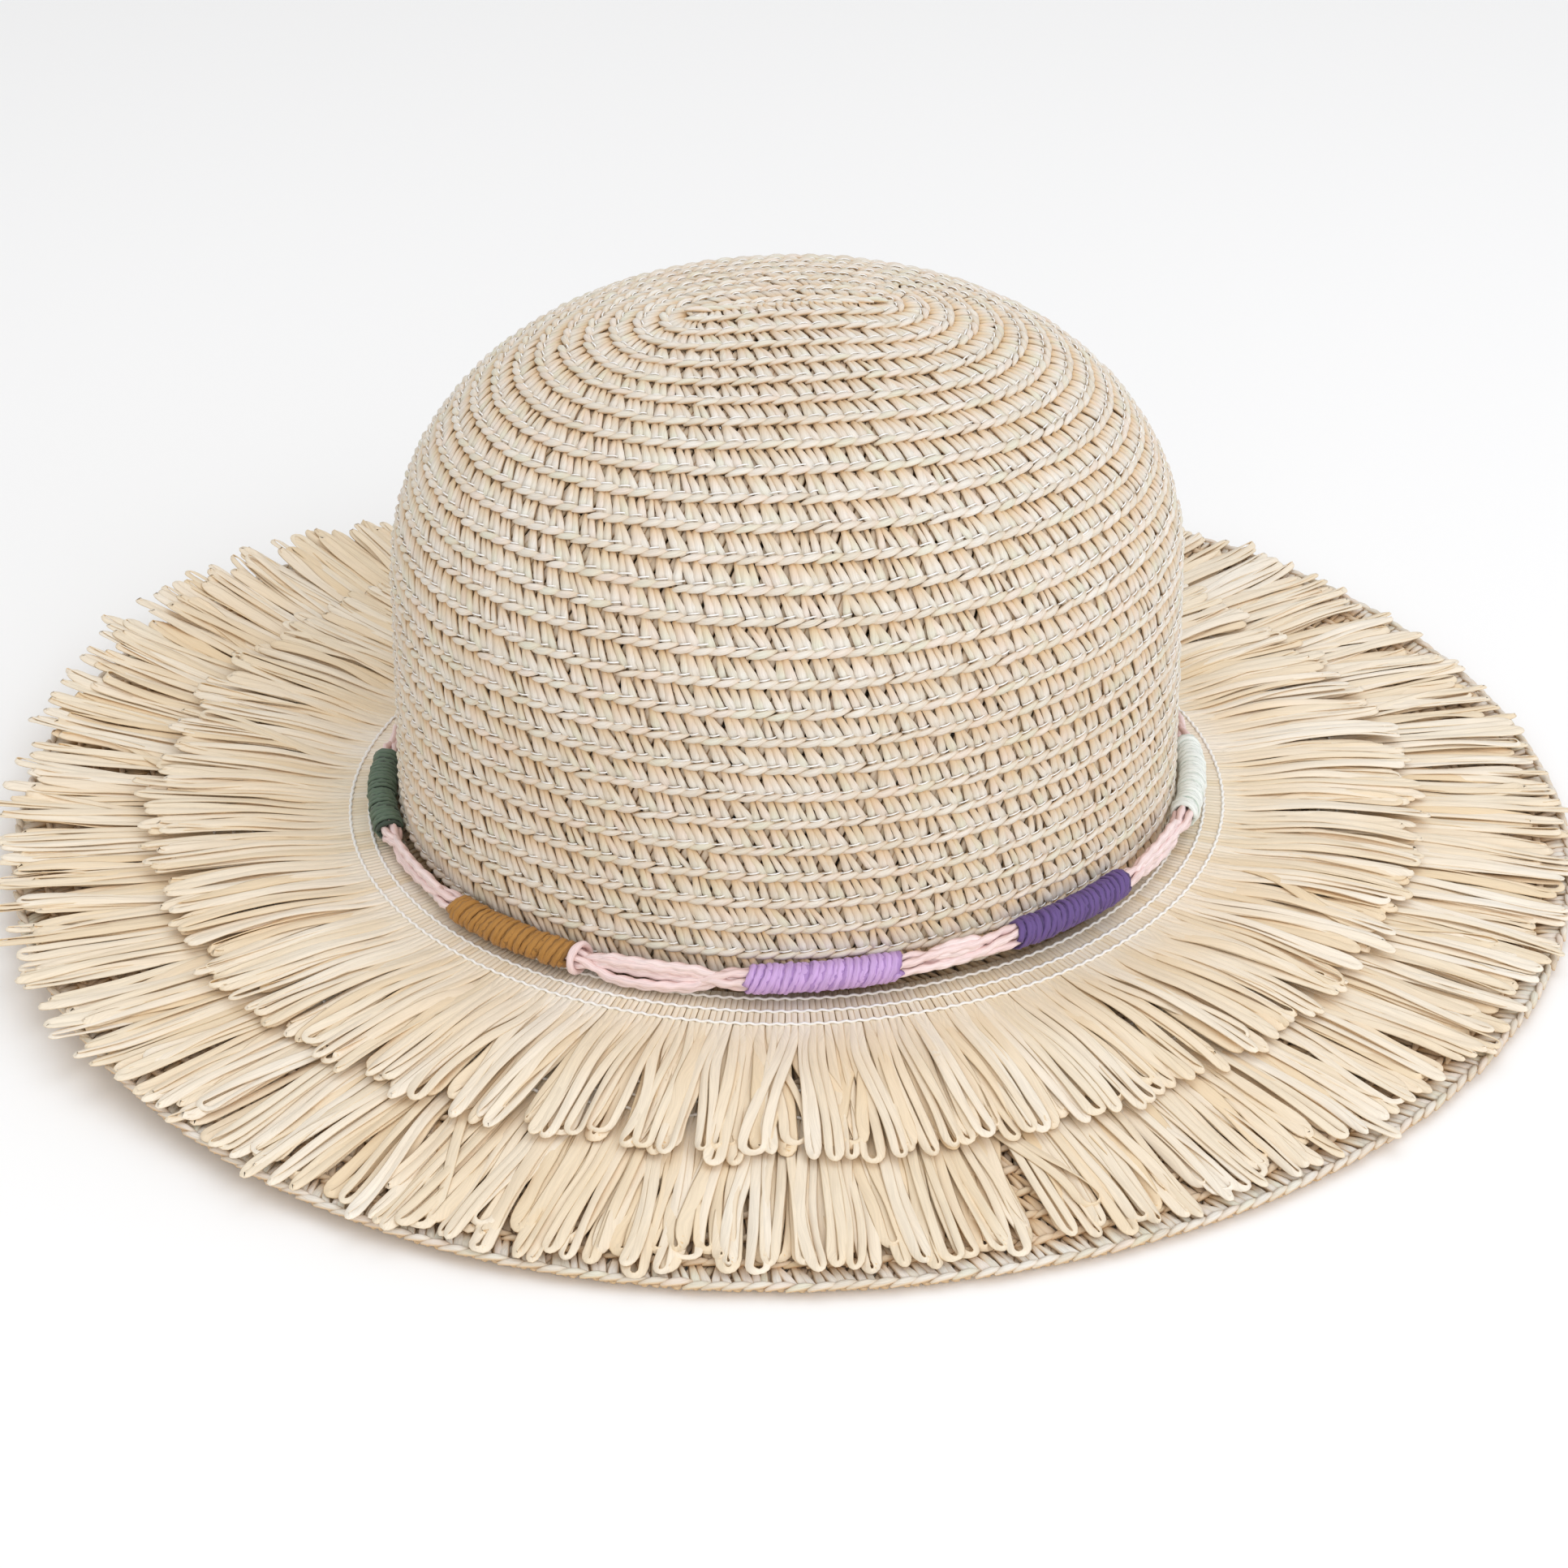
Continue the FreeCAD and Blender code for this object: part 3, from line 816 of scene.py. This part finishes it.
    # painted light and shade: higher loops, the ends by the seams and the tips are painted lighter; lower
    # loops and the under row darker
    painted_light = np.clip(0.7 + 0.3 * layer[:, None] + 0.3 * (1 - full) + 0.15 * hang - 0.45 * under, 0, 1)
    roll = on_edge + lean * free
    loops = strands(middle_line, normal, wide, thick, 6, roll, crease=0.1 * full, painted_light=painted_light, flat=True)
    return make_piece(name, [loops], raffia_finish, [node])


def make_seam(name, out, node, period=3.0):
    """A row of thread that rides over two strands and dips between the next, once in each period."""
    across = FOOT + out
    count = int(TURN * across * OVAL_GIRTH / period)
    points = count * 8
    angle = TURN * np.arange(points)[None] / points
    dip = np.cos(angle * count)
    level = brim_level(out, angle) + SEAM_LIFT + 0.2 * np.clip(dip, -0.6, 1)
    middle = oval_point(across + 0.12 * np.sin(angle * count), level, angle)
    normal = np.broadcast_to(np.array([0.0, 0.0, 1.0]), middle.shape)
    # painted shade: the thread is painted darker where it dips between the strands
    painted_lightness = 0.7 + 0.3 * np.clip(dip + 0.6, 0, 1)
    thread = strands(middle, normal, 0.4, 0.3, 6, painted_light=painted_lightness, ply=(1.5, 0.08), ring=True)
    return make_piece(name, [thread], thread_finish, [node])


def make_fringes():
    """The lower tier, then the upper tier that lies over its seams, and the threads that hold both.

    A tier's loops end nearly level all round. At the -X end, on the far side, they are swept up.
    """
    front = lambda a: beside(a, 276, 0.45)
    swept = lambda a: 9.0 * beside(a, 144, 0.5) + 1.5 * beside(a, 205, 0.4) + 0.6 * np.sin(3 * a + 1) ** 2
    on_brim = lambda out: 0 * out
    over_lower = lambda out: TIER_LIFT * soft_step((out - 10) / 26)
    lower_tips = lambda a: LOWER_TIPS + 2.4 * (1 - front(a)) + 1.2 * beside(a, 228, 0.3)
    lower_under = lambda a: lower_tips(a) - 5
    upper_tips = lambda a: UPPER_TIPS + 0 * a
    upper_under = lambda a: upper_tips(a) - 3
    upper_swept = lambda a: 4.0 * beside(a, 155, 0.6)
    for tier, row, seams, start, tips, count, most, lift, sweep, under in (
        ("lower", "loops", LOWER_SEAMS, LOWER_START, lower_tips, 292, 7, on_brim, swept, 0.0),
        ("lower", "under", LOWER_SEAMS, 40.0, lower_under, 230, 5, on_brim, swept, UNDER_ROW),
        ("upper", "loops", UPPER_SEAMS, UPPER_START, upper_tips, 236, 5, over_lower, upper_swept, 0.0),
        ("upper", "under", UPPER_SEAMS, 9.5, upper_under, 190, 4, over_lower, upper_swept, UNDER_ROW),
    ):
        name, node = f"{tier}_fringe_{row}", f"{tier}_fringe"
        make_fringe(name, seams, start, tips, count, most, lift, sweep, node, under)
    for tier, seams in (("upper", UPPER_SEAMS), ("lower", LOWER_SEAMS)):
        for word, out in zip(("first", "second", "third"), seams):
            make_seam(f"{tier}_seam_{word}", out, f"{tier}_fringe_{word}_seam")


# --- Band -------------------------------------------------------------------------------------

BAND_DROP = 0.6  # how far the band hangs below its even level
BAND_RIDE = 4.2  # how far it rides up beside the purple wrap
HALF_WRAP = WRAP_RUN / 2 / BAND_OUT  # half of the angle that a wrap takes round the oval
TAN_END = math.radians(WRAPS["wrap_tan"][0]) + HALF_WRAP
LILAC_START = math.radians(WRAPS["wrap_lilac"][0]) - HALF_WRAP


def band_frame(angle, out=0.0, up=0.0):
    """Points beside the band's middle line, with the way outwards at each. It rides up by the purple wrap."""
    middle = oval_point(BAND_OUT, BAND_LEVEL - BAND_DROP + BAND_RIDE * beside(angle, 303, 0.87), angle)
    outward = unit(np.stack([np.cos(angle) / OVAL, np.sin(angle), 0 * angle], -1))
    rise = np.array([0, 0, 1.0]) * np.asarray(up)[..., None]
    return middle + outward * np.asarray(out)[..., None] + rise, outward


def wound(angle, radius, way):
    """Points wound round the band's middle line, with the way out of the winding at each."""
    middle, outward = band_frame(angle, radius * np.cos(way), radius * np.sin(way))
    return middle, outward * np.cos(way)[:, None] + np.array([0, 0, 1.0]) * np.sin(way)[:, None]


def make_band():
    """Six strands of pink yarn, round each other inside the wraps and fanned flat between them.

    The last two hang slack between the tan wrap and the lilac one.
    """
    points = 900
    angle = TURN * np.arange(points) / points
    middles = np.radians([place for place, _ in WRAPS.values()])
    near = np.abs((angle[:, None] - middles[None] + math.pi) % TURN - math.pi).min(1)
    loose = soft_step((near - HALF_WRAP) / 0.1)
    sag = np.sin(math.pi * np.clip((angle - TAN_END) / (LILAC_START - TAN_END), 0, 1)) ** 0.8
    for i in range(6):
        place = math.radians(18 + 72 * i) + 5 * angle
        circle = 0.0 if i == 0 else BAND_CIRCLE
        spread = (2.5 - i) * 0.9 + 0.35 * np.sin(9 * angle + 1.3 * i)
        out = (1 - loose) * circle * np.cos(place) + loose * 0.5 * np.cos(7 * angle + 2 * i)
        up = (1 - loose) * circle * np.sin(place) + loose * spread
        if i > 3:
            out, up = out + 1.2 * sag, up - (i - 3) * 0.75 * sag
        middle, outward = band_frame(angle, out, up)
        # painted shade: the yarn is painted a little darker inside the wraps than where it lies loose
        yarn = strands(
            middle[None],
            outward[None],
            BAND_STRAND * (1 + 0.15 * loose),
            BAND_STRAND * 0.95,
            10,
            painted_light=0.85 + 0.15 * loose,
            ply=(5.0, 0.2),
            ring=True,
        )
        make_piece(f"band_yarn_{i + 1}", [yarn], yarn_finishes["pink"], [f"band_strand_{i + 1}"])


def make_wrap(node, place, yarn):
    """Yarn wound tightly round the band in two layers, whose turns lean and are never quite alike."""
    turns, per_turn = 20, 16
    t = np.linspace(0, turns, turns * per_turn + 1)
    spacing = (WRAP_RUN - 2) / turns * 0.98
    by_turn = lambda size: np.interp(t, np.arange(turns + 1), chance.normal(0, size, turns + 1))
    slowly = lambda n: np.interp(t, np.arange(turns * n + 1) / n, chance.random(turns * n + 1))
    middle_of = math.radians(place)
    speed = BAND_OUT * np.hypot(OVAL * math.sin(middle_of), math.cos(middle_of))
    # each layer: its bore, shift along, half-width and painted light; the inner turns are painted darker, as
    # painted shade
    inner, outer = (WRAP_BORE, 0.5, 1.0, 0.4), (WRAP_BORE + 0.35, 0.0, 0.78, 1.0)
    layers = []
    for radius, shift, width, painted_lightness in (inner, outer):
        along = (t - turns / 2 + shift) * spacing + by_turn(0.18) + (1.1 + by_turn(0.3)) * np.sin(TURN * t)
        bulge = radius + 0.5 * slowly(2) * soft_step(np.minimum(t, turns - t) / 1.2 + 0.3)
        middle, normal = wound(middle_of + along / speed, bulge, TURN * t)
        half = width + 0.2 * slowly(3)
        roll = 0.3 * np.sin(5 * t)[None]
        layers.append(
            strands(middle[None], normal[None], half[None], 0.55, 10, roll, painted_light=painted_lightness, ply=(2.4, 0.2))
        )
    make_piece(f"{node}_winding", layers, yarn_finishes[yarn], [node])


def make_knot():
    """The strand that ties off beside the tan wrap: it goes round the band and tucks under itself."""
    turns = 1.3
    t = np.linspace(0, turns, 48)
    along = -0.4 + 1.1 * t + 0.5 * np.sin(TURN * t)
    radius = 3.1 + 0.2 * np.sin(2.9 * t) + 0.2 * t
    middle, normal = wound(TAN_END + 0.004 + along / BAND_OUT, radius, TURN * t + 2.2)
    taper = 0.35 + 0.65 * soft_step(np.minimum(t, turns - t) / 0.15)
    tie = strands(middle[None], normal[None], taper[None], 0.75 * taper[None], 8, ply=(6.0, 0.12))
    make_piece("band_tie", [tie], yarn_finishes["pink"], ["band_knot"])


# --- Sweatband --------------------------------------------------------------------------------


def make_sweatband():
    """Cotton tape that stands inside the crown, eased in with small waves, and the stitches along it."""
    around, rows, thick = 400, 9, 0.7
    angle = TURN * np.arange(around) / around
    outer = tape_high[1] - 0.05
    rise = np.linspace(0, 1, rows)
    level = tape_low[2] + (tape_high[2] - tape_low[2]) * rise
    lean = (level - tape_low[2]) * math.tan(WALL_LEAN)
    wave = 0.35 * np.sin(23 * angle)[:, None] * rise[None] ** 2
    outside, inside = (
        oval_point(outer - shift - lean[None] - 0.3 - wave, level[None] + 0 * wave, angle[:, None] + 0 * wave)
        for shift in (0.0, thick)
    )
    section = np.concatenate([outside, inside[:, ::-1]], 1)[None]
    lay = np.zeros(section.shape)
    lay[..., 0] = (angle * outer * MEAN_OVAL)[None, :, None]
    lay[..., 1] = np.concatenate([level, level[::-1]])[None, None]
    painted_lightness = np.ones(section.shape[:3])
    tape = {"verts": section[:, :, ::-1], "lay": lay[:, :, ::-1], "painted_light": painted_lightness, "ring": True}
    piece = make_piece("sweatband_tape", [tape], woven_tape_finish(), ["sweatband"])

    seam_low, seam_high = node_box("sweatband_seam")
    count = 180
    t = np.linspace(0, 1, 6)[None]
    start = TURN * np.arange(count)[:, None] / count
    across = seam_high[1] - 0.45 - 0.5 * np.sin(math.pi * t) ** 0.5
    dash = oval_point(across, (seam_low[2] + seam_high[2]) / 2 + 0 * t, start + t * TURN / count * 0.72)
    normal = -unit(dash * np.array([1, 1, 0]))
    sewn = strands(dash, normal, 0.28, 0.24, 6)
    make_piece("sweatband_stitches", [sewn], thread_finish, ["sweatband_seam"])


# --- Floor, light and camera ------------------------------------------------------------------


def make_floor():
    """A plain pale table top, a hair below the brim's flat edge."""
    finish, _, shader = blank_finish("matt_white_table")
    shader.inputs["Base Color"].default_value = colour("#FBFBFB")
    shader.inputs["Roughness"].default_value = 0.9
    mesh = bpy.data.meshes.new("table_top")
    half = 4.0  # in metres, so that its edge is out of sight
    corners = [(-half, -half, 0), (half, -half, 0), (half, half, 0), (-half, half, 0)]
    mesh.from_pydata(corners, [], [(0, 1, 2, 3)])
    mesh.materials.append(finish)
    floor = bpy.data.objects.new("table_top", mesh)
    floor.location.z = -0.6 * MM
    bpy.context.scene.collection.objects.link(floor)


LAMPS = (  # name, place and size in metres, watts and tint
    ("window_right", (1.0, -1.1, 1.2), 1.3, 9.5, "#F2F6FF"),
    ("overhead", (0.1, 0.0, 1.6), 1.4, 5.0, "#FFFFFF"),
    ("fill_front", (-0.2, -1.5, 0.85), 1.2, 6.0, "#FFFAF2"),
)


def make_light():
    """A bright white room and three broad soft lamps: cool at the right, plain above and warm in front."""
    room = bpy.data.worlds.new("studio")
    room.use_nodes = True
    background = room.node_tree.nodes["Background"]
    background.inputs["Color"].default_value = colour("#FFFFFF")
    background.inputs["Strength"].default_value = 0.68
    bpy.context.scene.world = room
    for name, place, size, power, tint in LAMPS:
        lamp = bpy.data.lights.new(name, "AREA")
        lamp.energy = power
        lamp.size = size
        lamp.color = colour(tint)[:3]
        light = bpy.data.objects.new(name, lamp)
        light.location = place
        light.rotation_mode = "QUATERNION"
        light.rotation_quaternion = (Vector((0, 0, 0.05)) - Vector(place)).to_track_quat("-Z", "Y")
        bpy.context.scene.collection.objects.link(light)
    bpy.context.scene.view_settings.view_transform = "Standard"


def make_camera():
    """Seen from beside the hat's long side (-Y), a little to the left, looking down on it."""
    azimuth, elevation, distance = math.radians(-7.87), math.radians(32.38), 0.7554
    aim = Vector((-0.001, 0.0, 0.009))
    level = math.cos(elevation)
    back = Vector((math.sin(azimuth) * level, -math.cos(azimuth) * level, math.sin(elevation)))
    camera = bpy.data.objects.new("camera", bpy.data.cameras.new("camera"))
    camera.data.sensor_width = 36.0
    camera.data.lens = 67.78
    camera.location = aim + back * distance
    camera.rotation_mode = "QUATERNION"
    camera.rotation_quaternion = (-back).to_track_quat("-Z", "Y")
    bpy.context.scene.collection.objects.link(camera)
    bpy.context.scene.camera = camera


make_camera()
make_crown()
make_brim()
make_fringes()
make_band()
for wrap, (place, yarn) in WRAPS.items():
    make_wrap(wrap, place, yarn)
make_knot()
make_sweatband()
make_floor()
make_light()
